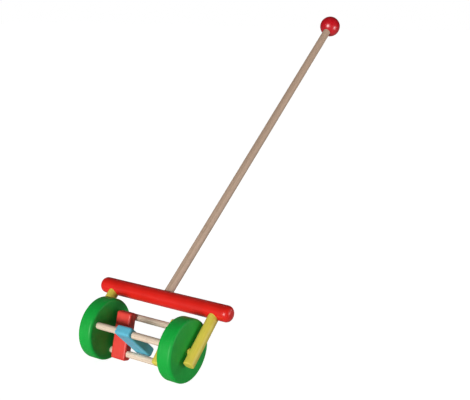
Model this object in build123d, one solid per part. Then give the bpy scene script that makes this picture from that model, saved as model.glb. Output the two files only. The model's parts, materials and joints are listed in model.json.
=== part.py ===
from build123d import *
import os
from math import cos, radians, sin

# A wooden push-along clatter roller: a long handle with a ball grip, a crossbar with two arms, and a
# drum of two wheels joined by three rails. A clapper hangs on each rail and flops to and fro as the
# drum rolls.
#
# Millimetres, with Z up. X runs along the wheels' axle and the handle leans back towards +Y. The
# origin is on the floor, midway between the wheels and straight below the axle. Angles round the
# axle run from +Y towards +Z.

# Wheels
wheel_radius = 35.0
wheel_thickness = 18.0
wheel_gap = 90.8                # between the wheels' inner faces
wheel_edge_round = 3.0
axle_pin_radius = 4.0
running_clearance = 0.08        # radial, round each pin and rail that something turns on

# Rails: dowels glued into blind holes in the wheels' inner faces
rail_radius = 3.85
rail_circle_radius = 24.0
rail_socket_depth = 9.0
rail_angles = {"front_rail": 150.0, "rear_rail": 30.0, "bottom_rail": 270.0}

# Clappers: flat blocks, each bored across near one end for its rail
clapper_width = 20.0            # along the rail
clapper_thickness = 11.0
clapper_short_end = 8.0         # from the bore's axis to the near end
clapper_long_end = 46.0         # from the bore's axis to the free end
clapper_corner_round = 3.0
clapper_edge_round = 2.0
clapper_rest_swing = 15.5       # how far a clapper lies from the line through its rail and the axle

# Each clapper: its rail, the middle of its width along the rail, and the side it has fallen to
clappers = {
    "red_clapper": ("bottom_rail", -31.8, -1),
    "blue_clapper": ("front_rail", -5.3, -1),
    "yellow_clapper": ("rear_rail", 32.5, 1),
}

# Arms: dowels outside the wheels, glued up into the crossbar
arm_radius = 6.35
arm_spacing = 141.2             # between the arms' axes
arm_tilt = 50.0                 # from vertical, towards +Y
arm_tail = 15.6                 # from the axle down to the arm's end
arm_end_round = 1.2
arm_stop = 1.5                  # from the crossbar's axis to the arm's upper end
axle_pin_socket_depth = 8.0     # into the arm
axle_pin_recess = 1.0           # from the wheel's inner face to the pin's end

# Crossbar
crossbar_radius = 9.3
crossbar_length = 181.5
crossbar_end_round = 6.8
crossbar_distance = 52.4        # from the axle, along the arms

# Handle
rod_radius = 5.2
rod_tilt = 53.5                 # from vertical, towards +Y
rod_reach = 492.0               # from the crossbar's axis to the ball's centre
rod_past_axis = 2.7             # how far the rod goes in past the crossbar's axis
ball_radius = 14.1
ball_flat_distance = 12.7       # from the ball's centre to the flat that the rod enters

# Places worked out from the dimensions above
axle = Vector(0, 0, wheel_radius)
wheel_inner_x = wheel_gap / 2
wheel_outer_x = wheel_inner_x + wheel_thickness
arm_x = arm_spacing / 2


def leaning(tilt):
    """The direction of a stick that leans from vertical towards +Y."""
    return Vector(0, sin(radians(tilt)), cos(radians(tilt)))


def stick(radius, start, tilt, length):
    """A round stick from a point, leaning towards +Y."""
    middle = start + leaning(tilt) * (length / 2)
    return Pos(middle) * Rot(-tilt, 0, 0) * Cylinder(radius, length)


def shaft(radius, x_from, x_to, centre):
    """A cylinder along X between two values of x."""
    middle = Vector((x_from + x_to) / 2, centre.Y, centre.Z)
    return Pos(middle) * Rot(0, 90, 0) * Cylinder(radius, abs(x_to - x_from))


def rail_centre(name):
    """Where a rail's axis crosses the plane x = 0."""
    angle = radians(rail_angles[name])
    return axle + Vector(0, cos(angle), sin(angle)) * rail_circle_radius


crossbar_centre = axle + leaning(arm_tilt) * crossbar_distance
ball_centre = crossbar_centre + leaning(rod_tilt) * rod_reach


def make_wheel(side):
    """A thick disc with rounded edges, a bore for the axle pin and three blind holes for the rails."""
    disc = Cylinder(wheel_radius, wheel_thickness)
    disc = fillet(disc.edges(), wheel_edge_round)
    middle_x = side * (wheel_inner_x + wheel_outer_x) / 2
    wheel = Pos(middle_x, axle.Y, axle.Z) * Rot(0, 90, 0) * disc
    bore_radius = axle_pin_radius + running_clearance
    wheel -= shaft(bore_radius, side * wheel_inner_x, side * wheel_outer_x, axle)
    socket_end = wheel_inner_x + rail_socket_depth
    for name in rail_angles:
        wheel -= shaft(rail_radius, side * wheel_inner_x, side * socket_end, rail_centre(name))
    return wheel


def make_rail(name):
    """A dowel that reaches into both wheels."""
    end_x = wheel_inner_x + rail_socket_depth
    return shaft(rail_radius, -end_x, end_x, rail_centre(name))


def make_clapper(rail, middle_x, fallen):
    """A block bored for its rail, fallen to one side of the line from the rail through the axle."""
    length = clapper_short_end + clapper_long_end
    offset = (clapper_long_end - clapper_short_end) / 2
    profile = Pos(offset, 0) * Rectangle(length, clapper_thickness)
    profile = fillet(profile.vertices(), clapper_corner_round)
    block = extrude(profile, clapper_width / 2, both=True)
    rims = block.edges().group_by(Axis.Z)
    block = fillet(rims[0] + rims[-1], clapper_edge_round)
    block -= Cylinder(rail_radius + running_clearance, clapper_width)
    inward = rail_angles[rail] + 180.0
    # The block is drawn in a plane whose normal is +X, with its free end along the plane's x axis.
    across = Plane(origin=rail_centre(rail) + Vector(middle_x, 0, 0), x_dir=(0, 1, 0), z_dir=(1, 0, 0))
    return across.location * Rot(0, 0, inward + fallen * clapper_rest_swing) * block


def make_arm(side):
    """A dowel from below the axle up into the crossbar, with a blind hole for the axle pin."""
    length = arm_tail + crossbar_distance - arm_stop
    dowel = Cylinder(arm_radius, length)
    dowel = fillet(dowel.edges().group_by(Axis.Z)[0], arm_end_round)
    middle = axle + leaning(arm_tilt) * (length / 2 - arm_tail)
    arm = Pos(side * arm_x, middle.Y, middle.Z) * Rot(-arm_tilt, 0, 0) * dowel
    inner_x = arm_x - arm_radius
    return arm - shaft(axle_pin_radius, side * inner_x, side * (inner_x + axle_pin_socket_depth), axle)


def make_axle_pin(side):
    """A short dowel glued into the arm, which the wheel turns on."""
    outer_x = arm_x - arm_radius + axle_pin_socket_depth
    return shaft(axle_pin_radius, side * (wheel_inner_x + axle_pin_recess), side * outer_x, axle)


def make_crossbar():
    """A round bar with softly rounded ends and blind holes for the arms and the handle rod."""
    bar = Cylinder(crossbar_radius, crossbar_length)
    bar = fillet(bar.edges(), crossbar_end_round)
    bar = Pos(crossbar_centre) * Rot(0, 90, 0) * bar
    for side in (-1, 1):
        hole_start = axle + Vector(side * arm_x, 0, 0)
        bar -= stick(arm_radius, hole_start, arm_tilt, crossbar_distance - arm_stop)
    return bar - make_handle_rod()


def make_handle_rod():
    """A straight dowel from inside the crossbar to the middle of the ball."""
    start = crossbar_centre - leaning(rod_tilt) * rod_past_axis
    return stick(rod_radius, start, rod_tilt, rod_reach + rod_past_axis)


def make_grip_ball():
    """A ball with a small flat, and a blind hole for the rod."""
    ball = Sphere(ball_radius)
    below_flat = Pos(0, 0, -ball_flat_distance - ball_radius / 2)
    ball -= below_flat * Cylinder(ball_radius, ball_radius)
    ball = Pos(ball_centre) * Rot(-rod_tilt, 0, 0) * ball
    return ball - make_handle_rod()


nodes = {
    "handle_rod": make_handle_rod(),
    "grip_ball": make_grip_ball(),
    "crossbar": make_crossbar(),
}
for side_name, side in (("left", -1), ("right", 1)):
    nodes[side_name + "_arm"] = make_arm(side)
    nodes[side_name + "_axle_pin"] = make_axle_pin(side)
    nodes[side_name + "_wheel"] = make_wheel(side)
for rail_name in rail_angles:
    nodes[rail_name] = make_rail(rail_name)
for clapper_name, (rail, middle_x, fallen) in clappers.items():
    nodes[clapper_name] = make_clapper(rail, middle_x, fallen)

os.makedirs("parts", exist_ok=True)
for name, shape in nodes.items():
    export_step(shape, "parts/" + name + ".step")
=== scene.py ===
import json
from math import atan2, ceil, cos, degrees, hypot, pi, radians, sin, sqrt

import bmesh
import bpy
from mathutils import Matrix, Vector, noise


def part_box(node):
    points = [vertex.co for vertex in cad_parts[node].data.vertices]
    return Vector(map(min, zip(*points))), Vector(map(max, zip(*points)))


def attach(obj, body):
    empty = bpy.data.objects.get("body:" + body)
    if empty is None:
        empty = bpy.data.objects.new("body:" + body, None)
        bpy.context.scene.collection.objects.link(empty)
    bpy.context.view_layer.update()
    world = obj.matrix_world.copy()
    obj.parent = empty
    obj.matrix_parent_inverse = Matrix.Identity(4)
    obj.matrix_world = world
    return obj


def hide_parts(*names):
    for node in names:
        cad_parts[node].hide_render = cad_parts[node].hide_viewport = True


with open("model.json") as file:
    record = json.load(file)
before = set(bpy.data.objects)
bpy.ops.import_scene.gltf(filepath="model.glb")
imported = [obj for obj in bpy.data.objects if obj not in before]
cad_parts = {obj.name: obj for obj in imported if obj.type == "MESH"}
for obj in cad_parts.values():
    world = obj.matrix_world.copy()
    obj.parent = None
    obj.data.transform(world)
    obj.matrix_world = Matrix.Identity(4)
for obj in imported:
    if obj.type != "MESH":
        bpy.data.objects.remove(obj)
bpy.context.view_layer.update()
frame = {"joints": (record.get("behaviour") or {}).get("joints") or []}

# A push-along clatter roller in painted and bare wood. Metres, in the frame of the CAD model: X along
# the axle, the handle leaning back towards +Y, the floor at z = 0.

MM = 0.001

# Shapes that the frame's boxes don't give
wheel_edge_round = 3.0 * MM
wheel_face_dish = 0.25 * MM         # how far a turned face falls away towards its middle
wheel_bore_mouth = 0.5 * MM         # bevel round the wheels' bores
running_clearance = 0.08 * MM       # radial, round each pin and rail that something turns on
socket_gap = 0.16 * MM              # hairline round each dowel where it enters its hole
socket_shown = 3.0 * MM             # how deep the hairline goes
ball_socket_shown = 4.0 * MM
hidden_end_round = 0.3 * MM         # on dowel ends that stand inside a hole
rail_end_round = 0.4 * MM
pin_end_round = 0.6 * MM
arm_end_round = 1.2 * MM
arm_tail = 15.6 * MM                # from the axle down to an arm's lower end
arm_stop = 1.5 * MM                 # from the crossbar's axis to an arm's upper end
bar_end_round = 6.8 * MM
rod_past_axis = 2.7 * MM            # how far the rod goes in past the crossbar's axis
ball_flat_distance = 12.7 * MM      # from the ball's centre to the flat that the rod enters
ball_flat_rim = 0.3 * MM            # narrow bevel round that flat
clapper_short_end = 8.0 * MM        # from the bore's axis to the near end
clapper_long_end = 46.0 * MM
clapper_thickness = 11.0 * MM
clapper_corner_round = 3.0 * MM
clapper_edge_round = 2.0 * MM
clapper_face_margin = 0.3 * MM      # a narrow flat band that keeps a face's shading flat
clapper_bore_mouth = 0.3 * MM

# Hand finishing
hand_sanding = 0.07 * MM            # how unevenly a piece is sanded
slow_dips, quick_dips = 90, 320     # per metre
unsanded_core = 1 * MM              # the middle of a turned end stays as it is
sharp_angle = 35                    # degrees between faces, above which shading breaks
weld_distance = 0.002 * MM

rails = ("front_rail", "rear_rail", "bottom_rail")
side_numbers = {"left": 4, "right": 5}      # what sets one side's sanding and grain apart

# Places from the frame
joints = {joint["name"]: joint for joint in frame["joints"]}
axle = Vector(joints["drum_spin"]["pos_m"])


def middle_of(node):
    low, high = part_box(node)
    return (low + high) / 2


def size_of(node):
    low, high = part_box(node)
    return high - low


bar_centre = middle_of("crossbar")
ball_centre = middle_of("grip_ball")
arm_direction = (bar_centre - axle).normalized()
rod_direction = (ball_centre - bar_centre).normalized()
along_x = Vector((1, 0, 0))


# Meshes

def new_piece(name, points, faces):
    """A mesh object with smooth shading that breaks at sharp edges."""
    mesh = bpy.data.meshes.new(name)
    mesh.from_pydata(points, [], faces)
    mesh.validate()
    clean(mesh)
    piece = bpy.data.objects.new(name, mesh)
    bpy.context.scene.collection.objects.link(piece)
    smooth(piece)
    return piece


def clean(mesh):
    """Joins points that coincide, drops faces without area and turns every face outwards."""
    tidy = bmesh.new()
    tidy.from_mesh(mesh)
    bmesh.ops.remove_doubles(tidy, verts=tidy.verts, dist=weld_distance)
    bmesh.ops.dissolve_degenerate(tidy, edges=tidy.edges, dist=weld_distance)
    bmesh.ops.recalc_face_normals(tidy, faces=tidy.faces)
    tidy.to_mesh(mesh)
    tidy.free()


def smooth(piece):
    mesh = piece.data
    mesh.polygons.foreach_set("use_smooth", [True] * len(mesh.polygons))
    mesh.set_sharp_from_angle(angle=radians(sharp_angle))


def sanded(point, seed):
    """How far hand sanding has lowered the surface at a point: slow, shallow dips."""
    slow = noise.noise(Vector(point) * slow_dips + Vector((seed, 0, 0)))
    quick = noise.noise(Vector(point) * quick_dips + Vector((0, seed, 0)))
    return hand_sanding * (0.5 + 0.38 * slow + 0.12 * quick)


def frame_along(direction):
    """Two unit vectors square to a direction and to each other."""
    side = along_x if abs(direction.x) < 0.9 else Vector((0, 1, 0))
    first = direction.cross(side).normalized()
    return first, direction.cross(first)


def arc(centre_s, centre_r, radius, start, end, steps=7):
    """Profile points on an arc: angles in degrees, from the axis direction towards the radius."""
    angles = [radians(start + (end - start) * k / steps) for k in range(steps + 1)]
    return [(centre_s + radius * cos(a), centre_r + radius * sin(a)) for a in angles]


def divided(profile, longest):
    """The profile with extra points, so that no run is longer than a given length."""
    points = [profile[0]]
    for (s0, r0), (s1, r1) in zip(profile, profile[1:]):
        parts = max(1, ceil(hypot(s1 - s0, r1 - r0) / longest))
        for k in range(1, parts + 1):
            points.append((s0 + (s1 - s0) * k / parts, r0 + (r1 - r0) * k / parts))
    return points


def turned(name, profile, origin, direction, around=96, longest=6 * MM, seed=0.0, closed=False):
    """A piece turned on a lathe: a profile of (distance along, radius) swept round a direction."""
    profile = divided(profile, longest)
    first, second = frame_along(direction)
    points, faces = [], []
    for s, r in profile:
        for k in range(around):
            angle = 2 * pi * k / around
            outward = first * cos(angle) + second * sin(angle)
            place = origin + direction * s + outward * r
            lowered = sanded(place, seed) if r > unsanded_core else 0.0
            points.append(place - outward * lowered)
    rings = len(profile)
    for ring in range(rings if closed else rings - 1):
        low, high = ring * around, (ring + 1) % rings * around
        for k in range(around):
            after = (k + 1) % around
            faces.append((low + k, low + after, high + after, high + k))
    return new_piece(name, points, faces)


def stick_profile(length, radius, start_round, end_round):
    """A dowel's profile, with softened ends."""
    start = arc(start_round, radius - start_round, start_round, 180, 90)
    end = arc(length - end_round, radius - end_round, end_round, 90, 0)
    return [(0.0, 0.0)] + start + end + [(length, 0.0)]


def drill(piece, origin, direction, profile):
    """A round hole, given as the profile of what is cut away."""
    cutter = turned("cutter", profile, origin, direction, around=61, longest=1.0)
    cut = piece.modifiers.new("hole", "BOOLEAN")
    cut.operation = "DIFFERENCE"
    cut.solver = "EXACT"
    cut.object = cutter
    bpy.context.view_layer.update()
    seen = bpy.context.evaluated_depsgraph_get()
    done = bpy.data.meshes.new_from_object(piece.evaluated_get(seen))
    piece.modifiers.clear()
    old = piece.data
    piece.data = done
    bpy.data.meshes.remove(old)
    bpy.data.objects.remove(cutter)
    clean(piece.data)
    smooth(piece)


def socket(piece, origin, direction, radius, depth):
    """A blind hole with a hairline gap round the dowel that fills it, cut as far again above its mouth."""
    wide = radius + socket_gap
    drill(piece, origin, direction, [(0.0, 0.0), (0.0, wide), (2 * depth, wide), (2 * depth, 0.0)])


def bore_through(piece, start, direction, length, radius, mouth):
    """A through hole with a bevelled mouth at each end."""
    past = 1 * MM
    flared = radius + mouth + past
    profile = [(-past, 0.0), (-past, flared), (mouth, radius), (length - mouth, radius)]
    profile += [(length + past, flared), (length + past, 0.0)]
    drill(piece, start, direction, profile)


def stand_for(piece, node, body):
    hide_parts(node)
    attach(piece, body)


# Shader nodes

def add(tree, kind, inputs=None, **settings):
    """A shader node with its settings, and inputs given as numbers, colours or sockets."""
    made = tree.nodes.new("ShaderNode" + kind)
    for key, value in settings.items():
        setattr(made, key, value)
    for key, value in (inputs or {}).items():
        if isinstance(value, bpy.types.NodeSocket):
            tree.links.new(value, made.inputs[key])
        else:
            made.inputs[key].default_value = value
    return made


def maths(tree, operation, first, second=0.0, third=0.0, clamp=False):
    made = add(tree, "Math", {0: first, 1: second, 2: third}, operation=operation, use_clamp=clamp)
    return made.outputs[0]


def ranged(tree, value, low, high, to_low=0.0, to_high=1.0):
    """A value mapped from one range to another, and held at its ends."""
    inputs = {"Value": value, "From Min": low, "From Max": high, "To Min": to_low, "To Max": to_high}
    return add(tree, "MapRange", inputs, interpolation_type="SMOOTHSTEP").outputs["Result"]


def mixed(tree, share, first, second):
    """Two colours mixed by a share from 0 to 1."""
    made = add(tree, "Mix", data_type="RGBA")
    for number, value in ((0, share), (6, first), (7, second)):
        if isinstance(value, bpy.types.NodeSocket):
            tree.links.new(value, made.inputs[number])
        else:
            made.inputs[number].default_value = value
    return made.outputs[2]


def speckle(tree, where, scale, detail=2.0, roughness=0.5):
    inputs = {"Vector": where, "Scale": scale, "Detail": detail, "Roughness": roughness}
    return add(tree, "TexNoise", inputs).outputs["Fac"]


def grain_space(tree, turn, offset):
    """Coordinates with z along the grain, shifted so that each piece is cut from another place."""
    place = add(tree, "TexCoord").outputs["Object"]
    turned_place = add(tree, "VectorRotate", {"Vector": place, "Rotation": turn}, rotation_type="EULER_XYZ")
    shifted = add(tree, "VectorMath", {0: turned_place.outputs[0], 1: offset}, operation="ADD")
    return place, shifted.outputs[0]


def stretched(tree, where, across, along):
    """Grain coordinates scaled across and along the grain."""
    scaled = add(tree, "VectorMath", {0: where, 1: (across, across, along)}, operation="MULTIPLY")
    return scaled.outputs[0]


def shaded(colour, factor):
    return tuple(factor * part for part in colour[:3]) + (1,)


# Noises in features per metre: two numbers are those across the grain and along it
ring_bends = (45, 5)
wood_fibres = (1500, 34)
wood_pores = (2600, 170)
wood_stripes = (260, 4)
brush_streaks = (700, 26)
wheel_rubs = (160, 900)
grime_patches, paint_clouds, smears = 38, 55, 120
chip_places, orange_peel, edge_wear, dust_nibs = 140, 620, 900, 1100

ring_wander = 3.2 * MM
bare_ring_spacing, painted_ring_spacing = 2.4 * MM, 2.6 * MM
wood_relief, paint_relief = 0.05 * MM, 0.045 * MM
worn_edge = 0.9 * MM
timber_under_paint = (0.55, 0.4, 0.25, 1)
scuff_grey = (0.5, 0.5, 0.46, 1)


def wood_pattern(tree, where, ring_spacing):
    """Growth rings, fibres and pores of straight-grained wood, each from 0 to 1."""
    bend = speckle(tree, stretched(tree, where, *ring_bends), 1.0, 3.0)
    parts = add(tree, "SeparateXYZ", {0: where})
    across = add(tree, "CombineXYZ", {0: parts.outputs[0], 1: parts.outputs[1]})
    distance = add(tree, "VectorMath", {0: across.outputs[0]}, operation="LENGTH").outputs["Value"]
    bent = maths(tree, "MULTIPLY_ADD", bend, ring_wander, distance)
    turns = maths(tree, "FRACT", maths(tree, "DIVIDE", bent, ring_spacing))
    late = ranged(tree, turns, 0.35, 0.93)
    early = ranged(tree, turns, 0.93, 1.0, 1.0, 0.0)
    rings = maths(tree, "MULTIPLY", late, early)
    fibres = speckle(tree, stretched(tree, where, *wood_fibres), 1.0, 3.0, 0.6)
    pores = speckle(tree, stretched(tree, where, *wood_pores), 1.0, 1.0)
    return rings, ranged(tree, fibres, 0.3, 0.7), ranged(tree, pores, 0.63, 0.72)


def bumped(tree, height, distance, strength):
    inputs = {"Height": height, "Distance": distance, "Strength": strength}
    return add(tree, "Bump", inputs).outputs["Normal"]


def new_material(name):
    material = bpy.data.materials.new(name)
    material.use_nodes = True
    tree = material.node_tree
    tree.nodes.clear()
    shader = add(tree, "BsdfPrincipled")
    add(tree, "OutputMaterial", {"Surface": shader.outputs[0]})
    return material, tree, shader


def edge_mask(tree, radius):
    """1 along edges and 0 on open surfaces, from how far a softened normal leans from the true one."""
    soft = add(tree, "Bevel", {"Radius": radius}, samples=6).outputs[0]
    true = add(tree, "NewGeometry").outputs["Normal"]
    lean = add(tree, "VectorMath", {0: soft, 1: true}, operation="DOT_PRODUCT").outputs["Value"]
    return ranged(tree, lean, 0.999, 0.9, 0.0, 1.0)


def bare_wood(name, light, dark, turn, offset, soil=0.1, darker_span=None):
    """Sanded, unfinished wood: rings, fibres, pores and a little grime.

    It is drawn darker over a range of places along the grain, if one is given, and past it.
    """
    material, tree, shader = new_material(name)
    place, where = grain_space(tree, turn, offset)
    rings, fibres, pores = wood_pattern(tree, where, bare_ring_spacing)
    colour = mixed(tree, rings, light, dark)
    colour = mixed(tree, maths(tree, "MULTIPLY", fibres, 0.38), colour, shaded(dark, 0.9))
    stripe = speckle(tree, stretched(tree, where, *wood_stripes), 1.0, 2.0)
    colour = mixed(tree, ranged(tree, stripe, 0.35, 0.7, 0.0, 0.4), colour, dark)
    colour = mixed(tree, maths(tree, "MULTIPLY", pores, 0.55), colour, shaded(dark, 0.45))
    grime = speckle(tree, place, grime_patches, 4.0, 0.6)
    colour = mixed(tree, ranged(tree, grime, 0.5, 0.75, 0.0, soil), colour, shaded(dark, 0.55))
    if darker_span:
        # darker over the given span along the grain, and past it
        along = add(tree, "SeparateXYZ", {0: where}).outputs[2]
        colour = mixed(tree, ranged(tree, along, *darker_span, 0.0, 0.6), colour, shaded(dark, 0.72))
    tree.links.new(colour, shader.inputs["Base Color"])
    rough = maths(tree, "MULTIPLY_ADD", fibres, 0.14, 0.52)
    tree.links.new(maths(tree, "MULTIPLY_ADD", grime, 0.12, rough), shader.inputs["Roughness"])
    shader.inputs["Specular IOR Level"].default_value = 0.32
    relief = maths(tree, "SUBTRACT", maths(tree, "MULTIPLY", fibres, 0.5), pores)
    tree.links.new(bumped(tree, relief, wood_relief, 0.7), shader.inputs["Normal"])
    return material


def painted_wood(
    name, paint, turn, offset, gloss=0.3, coat=0.0, thin=0.12, wear=0.25, scuffs=0.0, shine=0.36
):
    """Paint over wood: orange peel, grain that shows through, thin edges and a few nibs of dust."""
    material, tree, shader = new_material(name)
    place, where = grain_space(tree, turn, offset)
    rings, fibres, pores = wood_pattern(tree, where, painted_ring_spacing)
    deep = shaded(paint, 0.78)
    pale = tuple(min(1.0, 1.08 * part + 0.02) for part in paint[:3]) + (1,)
    cloud = speckle(tree, place, paint_clouds, 4.0, 0.55)
    colour = mixed(tree, ranged(tree, cloud, 0.32, 0.68), deep, paint)
    colour = mixed(tree, 0.55, colour, paint)
    streak = speckle(tree, stretched(tree, where, *brush_streaks), 1.0, 2.0)
    colour = mixed(tree, ranged(tree, streak, 0.45, 0.75, 0.0, 0.35), colour, pale)
    colour = mixed(tree, maths(tree, "MULTIPLY", rings, thin), colour, deep)
    colour = mixed(tree, maths(tree, "MULTIPLY", pores, 2.2 * thin), colour, deep)
    edges = edge_mask(tree, worn_edge)
    chip_noise = speckle(tree, place, edge_wear, 4.0, 0.65)
    thinning = maths(tree, "MULTIPLY", edges, ranged(tree, chip_noise, 0.38, 0.62))
    colour = mixed(tree, maths(tree, "MULTIPLY", thinning, wear), colour, pale)
    chip_place = speckle(tree, place, chip_places, 3.0, 0.6)
    chips = maths(tree, "MULTIPLY", edges, ranged(tree, chip_place, 0.68, 0.71))
    colour = mixed(tree, maths(tree, "MULTIPLY", chips, 0.85), colour, timber_under_paint)
    if scuffs:
        rubbed = speckle(tree, stretched(tree, place, *wheel_rubs), 1.0, 3.0, 0.7)
        colour = mixed(tree, ranged(tree, rubbed, 0.6, 0.8, 0.0, scuffs), colour, scuff_grey)
    tree.links.new(colour, shader.inputs["Base Color"])
    smear = speckle(tree, place, smears, 4.0, 0.6)
    rough = maths(tree, "MULTIPLY_ADD", smear, 0.16, gloss - 0.08)
    rough = maths(tree, "MULTIPLY_ADD", chips, 0.3, rough, clamp=True)
    tree.links.new(rough, shader.inputs["Roughness"])
    shader.inputs["Specular IOR Level"].default_value = shine
    shader.inputs["Coat Weight"].default_value = coat
    shader.inputs["Coat Roughness"].default_value = 0.3
    peel = speckle(tree, place, orange_peel, 2.0)
    nibs = ranged(tree, speckle(tree, place, dust_nibs, 1.0), 0.74, 0.8)
    relief = maths(tree, "MULTIPLY_ADD", rings, -0.35, maths(tree, "MULTIPLY", peel, 0.6))
    relief = maths(tree, "MULTIPLY_ADD", fibres, 0.22, relief)
    relief = maths(tree, "MULTIPLY_ADD", pores, -0.5, relief)
    relief = maths(tree, "MULTIPLY_ADD", nibs, 0.9, relief)
    relief = maths(tree, "MULTIPLY_ADD", chips, -1.2, relief)
    tree.links.new(bumped(tree, relief, paint_relief, 0.6), shader.inputs["Normal"])
    return material


# Turns that bring each piece's grain onto z
lean_of_arm = atan2(arm_direction.y, arm_direction.z)
lean_of_rod = atan2(rod_direction.y, rod_direction.z)
grain_along_x = (0, -pi / 2, 0)
grain_along_arm = (lean_of_arm, 0, 0)
grain_along_rod = (lean_of_rod, 0, 0)
grain_upright = (0, 0, 0)

red_paint = (0.70, 0.013, 0.007, 1)
ball_paint = (0.41, 0.003, 0.008, 1)
clapper_red_paint = (0.75, 0.05, 0.036, 1)
green_paint = (0.0055, 0.385, 0.044, 1)
yellow_paint = (0.69, 0.57, 0.075, 1)
blue_paint = (0.12, 0.50, 0.66, 1)
pale_light, pale_dark = (0.78, 0.63, 0.49, 1), (0.67, 0.52, 0.39, 1)
rod_light, rod_dark = (0.56, 0.40, 0.298, 1), (0.46, 0.325, 0.233, 1)


# The handle and its frame

def make_rod():
    start = bar_centre - rod_direction * rod_past_axis
    length = (ball_centre - start).length
    radius = size_of("handle_rod").x / 2
    profile = stick_profile(length, radius, hidden_end_round, hidden_end_round)
    rod = turned("rod", profile, start, rod_direction, around=72, longest=8 * MM, seed=3.1)
    low = start.dot(rod_direction)
    # the rod is drawn darker towards the ball, from a tenth of its length to six tenths and past it
    darker_span = (low + 0.1 * length, low + 0.6 * length)
    rod.data.materials.append(
        bare_wood("rod wood", rod_light, rod_dark, grain_along_rod, (0.031, 0.012, 0), soil=0.25, darker_span=darker_span)
    )
    stand_for(rod, "handle_rod", "handle_frame")
    return radius


def make_ball(rod_radius):
    radius = size_of("grip_ball").x / 2
    flat_radius = sqrt(radius**2 - ball_flat_distance**2)
    flat_angle = 180 - degrees(atan2(flat_radius, ball_flat_distance))
    surface = arc(0, 0, radius, flat_angle, 0, steps=64)
    profile = [(-ball_flat_distance, 0.0), (-ball_flat_distance, flat_radius - ball_flat_rim)] + surface
    ball = turned("ball", profile, ball_centre, rod_direction, around=128, seed=8.4)
    start = ball_centre - rod_direction * (ball_flat_distance + ball_socket_shown)
    socket(ball, start, rod_direction, rod_radius, ball_socket_shown)
    ball.data.materials.append(
        painted_wood("ball paint", ball_paint, grain_along_rod, (0.008, 0.02, 0),
                     gloss=0.3, coat=0.33, thin=0.05)
    )
    stand_for(ball, "grip_ball", "handle_frame")


def make_crossbar(rod_radius, arm_radius):
    size = size_of("crossbar")
    start = bar_centre - along_x * size.x / 2
    surface = size.z / 2
    profile = stick_profile(size.x, surface, bar_end_round, bar_end_round)
    bar = turned("crossbar_bar", profile, start, along_x, around=128, longest=2.5 * MM, seed=5.7)
    rod_hole = bar_centre + rod_direction * (surface - socket_shown)
    socket(bar, rod_hole, rod_direction, rod_radius, socket_shown)
    for side in ("left_arm", "right_arm"):
        across = middle_of(side).x - bar_centre.x
        arm_hole = bar_centre + along_x * across - arm_direction * (surface + socket_shown)
        socket(bar, arm_hole, arm_direction, arm_radius, socket_shown)
    bar.data.materials.append(
        painted_wood("crossbar paint", red_paint, grain_along_x, (0.02, 0.03, 0),
                     gloss=0.34, coat=0.2, shine=0.3)
    )
    stand_for(bar, "crossbar", "handle_frame")


def make_arm(side, radius):
    node = side + "_arm"
    start = axle + along_x * middle_of(node).x - arm_direction * arm_tail
    length = (bar_centre - axle).length + arm_tail - arm_stop
    profile = stick_profile(length, radius, arm_end_round, hidden_end_round)
    arm = turned(node + "_dowel", profile, start, arm_direction, longest=2.5 * MM, seed=side_numbers[side])
    arm.data.materials.append(
        painted_wood(side + " arm paint", yellow_paint, grain_along_arm, (0.02, 0.01 * side_numbers[side], 0),
                     gloss=0.4, thin=0.2)
    )
    stand_for(arm, node, "handle_frame")


def make_pin(side):
    node = side + "_axle_pin"
    size = size_of(node)
    start = middle_of(node) - along_x * size.x / 2
    profile = stick_profile(size.x, size.z / 2, pin_end_round, pin_end_round)
    pin = turned(node + "_dowel", profile, start, along_x, around=64, seed=1.0)
    pin.data.materials.append(
        painted_wood(side + " pin paint", yellow_paint, grain_along_x, (0.01, 0.02, 0), gloss=0.45)
    )
    stand_for(pin, node, "handle_frame")
    return size.z / 2


# The drum

def make_wheel(side, pin_radius):
    node = side + "_wheel"
    size = size_of(node)
    outward = along_x if side == "right" else -along_x
    inner_face = middle_of(node) - outward * size.x / 2
    thick, radius, rounding = size.x, size.z / 2, wheel_edge_round
    bore, mouth = pin_radius + running_clearance, wheel_bore_mouth
    inner_edge = arc(rounding, radius - rounding, rounding, 180, 90, steps=9)
    outer_edge = arc(thick - rounding, radius - rounding, rounding, 90, 0, steps=9)
    profile = [(wheel_face_dish + mouth, bore), (wheel_face_dish, bore + mouth)]
    profile += inner_edge + outer_edge
    profile += [(thick - wheel_face_dish, bore + mouth), (thick - wheel_face_dish - mouth, bore)]
    wheel = turned(node + "_disc", profile, inner_face, outward, around=160, longest=2.4 * MM,
                   seed=4 + side_numbers[side], closed=True)
    for rail in rails:
        centre, rail_radius = middle_of(rail), size_of(rail).z / 2
        start = Vector((inner_face.x, centre.y, centre.z)) - outward * socket_shown
        socket(wheel, start, outward, rail_radius, socket_shown)
    wheel.data.materials.append(
        painted_wood(side + " wheel paint", green_paint, grain_upright, (0.03, 0.01 * side_numbers[side], 0),
                     gloss=0.45, thin=0.16, scuffs=0.06, shine=0.26)
    )
    stand_for(wheel, node, "drum")


def make_rail(node, number):
    size = size_of(node)
    start = middle_of(node) - along_x * size.x / 2
    profile = stick_profile(size.x, size.z / 2, rail_end_round, rail_end_round)
    rail = turned(node + "_dowel", profile, start, along_x, around=64, longest=4 * MM, seed=10.0 + number)
    offset = (0.02 + 0.007 * number, 0.03 - 0.006 * number, 0)
    rail.data.materials.append(bare_wood(node + " wood", pale_light, pale_dark, grain_along_x, offset))
    stand_for(rail, node, "drum")


# The clappers

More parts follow.
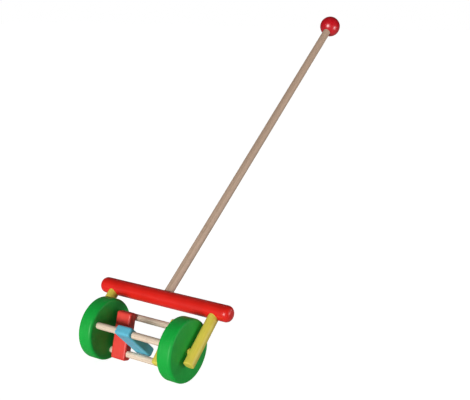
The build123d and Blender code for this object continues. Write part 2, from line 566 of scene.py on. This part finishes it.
def rounded_outline(inset):
    """A clapper's outline about its bore: a rounded rectangle, drawn in by a given amount."""
    low_u, high_u = -clapper_short_end + inset, clapper_long_end - inset
    half_v, corner = clapper_thickness / 2 - inset, clapper_corner_round - inset
    corners = [(high_u, half_v, 0), (low_u, half_v, 90), (low_u, -half_v, 180), (high_u, -half_v, 270)]
    long_side_parts, end_parts = 20, 5
    outline = []
    for number, (u, v, turn) in enumerate(corners):
        centre_u = u - corner if u > 0 else u + corner
        centre_v = v - corner if v > 0 else v + corner
        outline += arc(centre_u, centre_v, corner, turn, turn + 90, steps=8)
        next_u, next_v, next_turn = corners[(number + 1) % 4]
        from_u, from_v = outline[-1]
        to_u = (next_u - corner if next_u > 0 else next_u + corner) + corner * cos(radians(next_turn))
        to_v = (next_v - corner if next_v > 0 else next_v + corner) + corner * sin(radians(next_turn))
        parts = end_parts if number % 2 else long_side_parts
        for k in range(1, parts):
            outline.append((from_u + (to_u - from_u) * k / parts, from_v + (to_v - from_v) * k / parts))
    return outline


def clapper_rings(width):
    """Outlines from one face of a clapper to the other, as points (across, along, up)."""
    steps, half = 6, width / 2
    turns = [pi / 2 * k / steps for k in range(steps + 1)]
    layers = [(half, clapper_edge_round + clapper_face_margin)]      # (across, inset of the outline)
    layers += [
        (half - clapper_edge_round * (1 - cos(turn)), clapper_edge_round * (1 - sin(turn)))
        for turn in turns
    ]
    parts, straight = 8, width - 2 * clapper_edge_round
    middle = [(straight / 2 - straight * k / parts, 0.0) for k in range(1, parts)]
    layers += middle + [(-x, inset) for x, inset in reversed(layers)]
    return [[(x, u, v) for u, v in rounded_outline(inset)] for x, inset in layers]


def make_clapper(colour, rail, paint, offset):
    """A bored block with eased edges, at the swing its box gives."""
    node, joint = colour + "_clapper", joints[colour + "_swing"]
    pivot, width = Vector(joint["pos_m"]), size_of(node).x
    centre = middle_of(node)
    swing = atan2(centre.z - pivot.z, centre.y - pivot.y)
    free_end = Vector((0, cos(swing), sin(swing)))
    upper = Vector((0, -sin(swing), cos(swing)))
    bore = size_of(rail).z / 2 + running_clearance
    block_middle = (clapper_long_end - clapper_short_end) / 2
    end_share, seed = 0.15, offset[0] * 999     # the broad sides are sanded more than the ends
    rings = clapper_rings(width)
    count, points, faces = len(rings[0]), [], []
    for ring in rings:
        for x, u, v in ring:
            place = pivot + along_x * x + free_end * u + upper * v
            away = (free_end * (u - block_middle) * end_share + upper * v).normalized()
            points.append(place - away * sanded(place, seed))
    for ring in range(len(rings) - 1):
        low, high = ring * count, (ring + 1) * count
        for k in range(count):
            after = (k + 1) % count
            faces.append((low + k, low + after, high + after, high + k))
    faces.append(tuple(range(count)))
    faces.append(tuple(range(len(points) - count, len(points))))
    block = new_piece(node + "_block", points, faces)
    start = pivot - along_x * width / 2
    bore_through(block, start, along_x, width, bore, clapper_bore_mouth)
    turn = (pi / 2 - swing, 0, 0)
    block.data.materials.append(
        painted_wood(colour + " clapper paint", paint, turn, offset, gloss=0.42, thin=0.22, wear=0.4)
    )
    stand_for(block, node, colour + "_flap")


rod_radius = make_rod()
arm_radius = size_of("left_arm").x / 2
make_ball(rod_radius)
make_crossbar(rod_radius, arm_radius)
for side in ("left", "right"):
    make_arm(side, arm_radius)
    pin_radius = make_pin(side)
    make_wheel(side, pin_radius)
for number, rail in enumerate(rails):
    make_rail(rail, number)
make_clapper("red", "bottom_rail", clapper_red_paint, (0.02, 0.01, 0))
make_clapper("blue", "front_rail", blue_paint, (0.03, 0.02, 0))
make_clapper("yellow", "rear_rail", yellow_paint, (0.01, 0.03, 0))


# The studio: a pale floor, a broad soft light in front, a weaker one behind, two softboxes at the
# right and a dim room

white = (1, 1, 1, 1)
paper_grey = (0.4, 0.4, 0.4, 1)
floor_reach = 12
floor_glow_seen, floor_glow_cast = 0.9, 0.11        # to the camera, and onto the object
room_glow_seen, room_glow_cast = 1.0, 0.05
softbox_azimuth, softbox_elevation = 83, -13        # degrees, seen from the ball


def seen_only(tree, seen, otherwise):
    """A shader that the camera sees, with another for every other ray."""
    ray = add(tree, "LightPath").outputs["Is Camera Ray"]
    return add(tree, "MixShader", {0: ray, 1: otherwise, 2: seen}).outputs[0]


def make_floor():
    points = [(x * floor_reach, y * floor_reach, 0) for x, y in ((-1, -1), (1, -1), (1, 1), (-1, 1))]
    floor = new_piece("floor", points, [(0, 1, 2, 3)])
    material = bpy.data.materials.new("floor paper")
    material.use_nodes = True
    tree = material.node_tree
    tree.nodes.clear()
    paper = add(tree, "BsdfDiffuse", {"Color": paper_grey}).outputs[0]
    glow = add(tree, "Emission", {"Color": white, "Strength": floor_glow_seen}).outputs[0]
    faint = add(tree, "Emission", {"Color": white, "Strength": floor_glow_cast}).outputs[0]
    bright = add(tree, "AddShader", {0: paper, 1: glow}).outputs[0]
    plain = add(tree, "AddShader", {0: paper, 1: faint}).outputs[0]
    add(tree, "OutputMaterial", {"Surface": seen_only(tree, bright, plain)})
    floor.data.materials.append(material)


def towards(azimuth, elevation):
    """A direction: azimuth 0 is straight in front of the object, and 90 at its right."""
    a, e = radians(azimuth), radians(elevation)
    return Vector((sin(a) * cos(e), -cos(a) * cos(e), sin(e)))


def hang(name, light, away, place):
    lamp = bpy.data.objects.new(name, light)
    lamp.location = place
    lamp.rotation_euler = (-away).to_track_quat("-Z", "Y").to_euler()
    bpy.context.scene.collection.objects.link(lamp)
    return lamp


def make_sun(name, azimuth, elevation, spread, strength):
    """A broad, far light, as even over the floor as over the object."""
    light = bpy.data.lights.new(name, "SUN")
    light.angle = radians(spread)
    light.energy = strength
    away = towards(azimuth, elevation)
    return hang(name, light, away, away * 3)


def make_softbox(name, distance, size, power):
    """A round softbox at the object's right, a little below the ball that it is aimed at."""
    light = bpy.data.lights.new(name, "AREA")
    light.shape = "DISK"
    light.size = size
    light.energy = power
    away = towards(softbox_azimuth, softbox_elevation)
    lamp = hang(name, light, away, ball_centre + away * distance)
    lamp.visible_camera = False


def make_room():
    world = bpy.data.worlds.new("room")
    bpy.context.scene.world = world
    world.use_nodes = True
    tree = world.node_tree
    tree.nodes.clear()
    seen = add(tree, "Background", {"Color": white, "Strength": room_glow_seen}).outputs[0]
    dim = add(tree, "Background", {"Color": white, "Strength": room_glow_cast}).outputs[0]
    add(tree, "OutputWorld", {"Surface": seen_only(tree, seen, dim)})


camera_place = (0.5364, -0.6459, 0.3915)
camera_azimuth, camera_elevation, camera_roll = 32.83, 13.49, 0.27      # degrees
camera_lens, camera_sensor = 62.41, 36.0                                # millimetres


def make_camera():
    """The camera looks down a little from the front right."""
    roll = radians(camera_roll)
    back = towards(camera_azimuth, camera_elevation)
    right = (-back).cross(Vector((0, 0, 1))).normalized()
    up = right.cross(-back)
    right, up = right * cos(roll) + up * sin(roll), up * cos(roll) - right * sin(roll)
    camera = bpy.data.cameras.new("camera")
    camera.lens = camera_lens
    camera.sensor_width = camera_sensor
    camera.clip_end = 5 * floor_reach
    holder = bpy.data.objects.new("camera", camera)
    rows = [(right[k], up[k], back[k], camera_place[k]) for k in range(3)]
    holder.matrix_world = Matrix(rows + [(0, 0, 0, 1)])
    bpy.context.scene.collection.objects.link(holder)
    bpy.context.scene.camera = holder


make_floor()
make_room()
make_sun("key", azimuth=2, elevation=7, spread=26, strength=4.15)
rear = make_sun("rear", azimuth=212, elevation=14, spread=50, strength=1.4)
rear.visible_glossy = False
make_softbox("fill", distance=1.15, size=0.4, power=4.4)
make_softbox("near fill", distance=0.5, size=0.18, power=1.0)
make_camera()
bpy.context.scene.view_settings.view_transform = "Standard"
